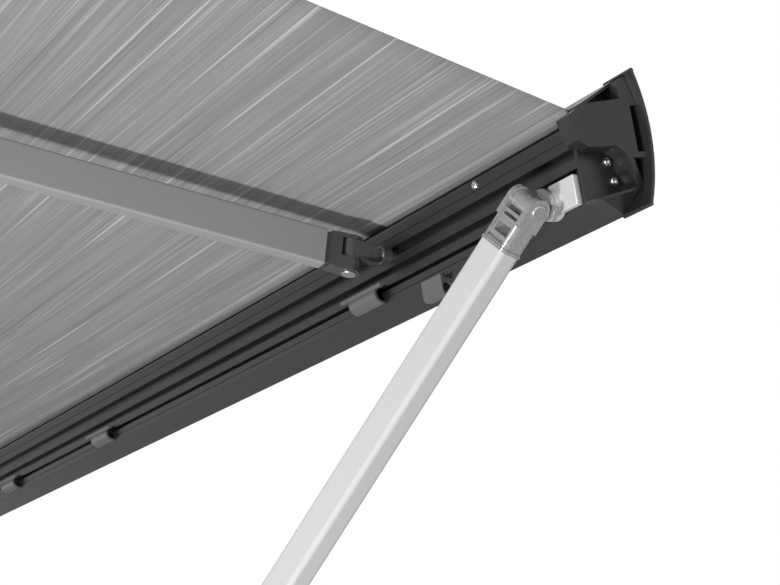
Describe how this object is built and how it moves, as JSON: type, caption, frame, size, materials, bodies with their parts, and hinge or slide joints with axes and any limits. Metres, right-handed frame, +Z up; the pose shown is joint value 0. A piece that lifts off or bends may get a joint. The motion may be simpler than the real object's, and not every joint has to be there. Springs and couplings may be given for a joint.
{
  "type": "roll out awning",
  "caption": "Roll out cassette awning with folding arms, a lead rail with end caps, a wound fabric canopy and swing-down telescopic support legs.",
  "frame": {"origin": "middle of the hole line of the centre wall bracket, on the plane of the vehicle wall", "axes": "+X along the rail to the right as seen from in front, +Y into the vehicle wall, +Z up; the awning opens towards -Y"},
  "size_m": [3.188, 2.3197, 1.93],
  "materials": {
    "bracket_steel": "zinc grey",
    "cassette_white": "satin powder coat",
    "cap_black": "satin moulded",
    "cast_silver": "cast, satin",
    "pin_steel": "turned",
    "bush_plastic": "moulded",
    "gear_black": "moulded",
    "roller_aluminium": "mill",
    "gear_brass": "cut",
    "canopy_grey": "woven, striped in greys",
    "keder_white": "smooth",
    "arm_aluminium": "grey anodised",
    "cast_dark": "cast, dark",
    "spring_steel": "coiled",
    "rail_grey": "dark grey anodised",
    "screw_steel": "bright",
    "clip_plastic": "moulded",
    "bracket_bright": "cast, bright",
    "knuckle_cast": "cast, bright",
    "leg_aluminium": "satin anodised",
    "clamp_plastic": "moulded",
    "leg_inner_aluminium": "satin anodised",
    "foot_rubber": "moulded"
  },
  "bodies": {
    "cassette": {"wall_brackets": "bracket_steel", "cassette_housing": "cassette_white", "cassette_cap_left": "cap_black", "cassette_cap_right": "cap_black", "shoulder_brackets": "cast_silver", "shoulder_pins": "pin_steel", "roller_bush": "bush_plastic", "gearbox": "gear_black", "canopy_fabric": "canopy_grey"},
    "roller": {"roller_tube": "roller_aluminium", "roller_plug_left": "bush_plastic", "roller_plug_right": "bush_plastic", "worm_wheel": "gear_brass", "fabric_roll": "canopy_grey"},
    "worm": {"worm_shaft": "pin_steel"},
    "lead_rail": {"lead_rail": "rail_grey", "keder_cord": "keder_white", "rail_cap_left": "cap_black", "rail_cap_right": "cap_black", "cap_screws": "screw_steel", "fabric_screws": "screw_steel", "wrist_brackets": "cast_dark", "wrist_pins": "pin_steel", "leg_clips": "clip_plastic", "catch_blocks": "clip_plastic", "leg_brackets": "bracket_bright"},
    "upper_arm_left": {"shoulder_casting_left": "cast_silver", "upper_arm_left": "arm_aluminium", "elbow_fork_left": "cast_dark", "elbow_pin_left": "pin_steel"},
    "forearm_left": {"elbow_tongue_left": "cast_dark", "forearm_left": "arm_aluminium", "arm_spring_left": "spring_steel", "wrist_casting_left": "cast_dark"},
    "leg_swivel_left": {"leg_swivel_left": "knuckle_cast", "leg_pin_left": "pin_steel"},
    "leg_left": {"leg_head_left": "knuckle_cast", "leg_tube_left": "leg_aluminium", "leg_clamp_left": "clamp_plastic"},
    "leg_inner_left": {"leg_inner_left": "leg_inner_aluminium"},
    "clamp_lever_left": {"clamp_lever_left": "cap_black"},
    "leg_foot_left": {"leg_foot_left": "foot_rubber"},
    "upper_arm_right": {"shoulder_casting_right": "cast_silver", "upper_arm_right": "arm_aluminium", "elbow_fork_right": "cast_dark", "elbow_pin_right": "pin_steel"},
    "forearm_right": {"elbow_tongue_right": "cast_dark", "forearm_right": "arm_aluminium", "arm_spring_right": "spring_steel", "wrist_casting_right": "cast_dark"},
    "leg_swivel_right": {"leg_swivel_right": "knuckle_cast", "leg_pin_right": "pin_steel"},
    "leg_right": {"leg_head_right": "knuckle_cast", "leg_tube_right": "leg_aluminium", "leg_clamp_right": "clamp_plastic"},
    "leg_inner_right": {"leg_inner_right": "leg_inner_aluminium"},
    "clamp_lever_right": {"clamp_lever_right": "cap_black"},
    "leg_foot_right": {"leg_foot_right": "foot_rubber"}
  },
  "joints": [
    {"name": "shoulder_left", "type": "hinge", "parent": "cassette", "child": "upper_arm_left", "pos_m": [-1.232, -0.0275, -0.08237], "axis": [0, -0.2765, 0.961], "range_deg": [0, 84.18], "deforming": ["canopy_fabric"]},
    {"name": "elbow_left", "type": "hinge", "parent": "upper_arm_left", "child": "forearm_left", "pos_m": [-1.12777, -1.12813, -0.399], "axis": [0, -0.2765, 0.961], "range_deg": [-168.35, 0]},
    {"name": "wrist_left", "type": "hinge", "parent": "forearm_left", "child": "lead_rail", "pos_m": [-1.232, -2.22876, -0.71562], "axis": [0, -0.2765, 0.961], "range_deg": [0, 84.18]},
    {"name": "shoulder_right", "type": "hinge", "parent": "cassette", "child": "upper_arm_right", "pos_m": [1.232, -0.0275, -0.08237], "axis": [0, -0.2765, 0.961], "range_deg": [-84.18, 0]},
    {"name": "elbow_right", "type": "hinge", "parent": "upper_arm_right", "child": "forearm_right", "pos_m": [1.12777, -1.12813, -0.399], "axis": [0, -0.2765, 0.961], "range_deg": [0, 168.35]},
    {"name": "roller_spin", "type": "hinge", "parent": "cassette", "child": "roller", "pos_m": [0, -0.044, -0.028], "axis": [-1, 0, 0], "range_deg": [0, 4477]},
    {"name": "crank_spin", "type": "hinge", "parent": "cassette", "child": "worm", "pos_m": [1.568, -0.0216, -0.028], "axis": [0, 0, 1], "range_deg": [0, 13429]},
    {"name": "leg_swing_left", "type": "hinge", "parent": "lead_rail", "child": "leg_swivel_left", "pos_m": [-1.516, -2.22876, -0.75562], "axis": [0, -1, 0], "range_deg": [-43, 47]},
    {"name": "leg_tilt_left", "type": "hinge", "parent": "leg_swivel_left", "child": "leg_left", "pos_m": [-1.516, -2.22876, -0.75562], "axis": [-0.7314, 0, -0.682], "range_deg": [-40, 20]},
    {"name": "leg_slide_left", "type": "slide", "parent": "leg_left", "child": "leg_inner_left", "axis": [-0.6409, -0.342, 0.6872], "range_m": [-0.5, 0.22]},
    {"name": "clamp_lever_left", "type": "hinge", "parent": "leg_left", "child": "clamp_lever_left", "pos_m": [-0.63219, -1.73687, -1.7034], "axis": [0.7314, 0, 0.682], "range_deg": [-100, 0]},
    {"name": "foot_left", "type": "hinge", "parent": "leg_inner_left", "child": "leg_foot_left", "pos_m": [-0.46498, -1.66785, -1.88271], "axis": [0.7314, 0, 0.682], "range_deg": [-40, 40]},
    {"name": "leg_swing_right", "type": "hinge", "parent": "lead_rail", "child": "leg_swivel_right", "pos_m": [1.516, -2.22876, -0.75562], "axis": [0, 1, 0], "range_deg": [-43, 47]},
    {"name": "leg_tilt_right", "type": "hinge", "parent": "leg_swivel_right", "child": "leg_right", "pos_m": [1.516, -2.22876, -0.75562], "axis": [-0.7314, 0, 0.682], "range_deg": [-40, 20]},
    {"name": "leg_slide_right", "type": "slide", "parent": "leg_right", "child": "leg_inner_right", "axis": [0.6409, -0.342, 0.6872], "range_m": [-0.5, 0.22]},
    {"name": "clamp_lever_right", "type": "hinge", "parent": "leg_right", "child": "clamp_lever_right", "pos_m": [0.63219, -1.73687, -1.7034], "axis": [0.7314, 0, -0.682], "range_deg": [-100, 0]},
    {"name": "foot_right", "type": "hinge", "parent": "leg_inner_right", "child": "leg_foot_right", "pos_m": [0.46498, -1.66785, -1.88271], "axis": [0.7314, 0, -0.682], "range_deg": [-40, 40]}
  ],
  "couplings": [
    {"joint": "elbow_left", "follows": "shoulder_left", "ratio": -2},
    {"joint": "wrist_left", "follows": "shoulder_left", "ratio": 1},
    {"joint": "shoulder_right", "follows": "shoulder_left", "ratio": -1},
    {"joint": "elbow_right", "follows": "shoulder_left", "ratio": 2},
    {"joint": "roller_spin", "follows": "shoulder_left", "ratio": 53.174},
    {"joint": "crank_spin", "follows": "shoulder_left", "ratio": 159.52}
  ]
}
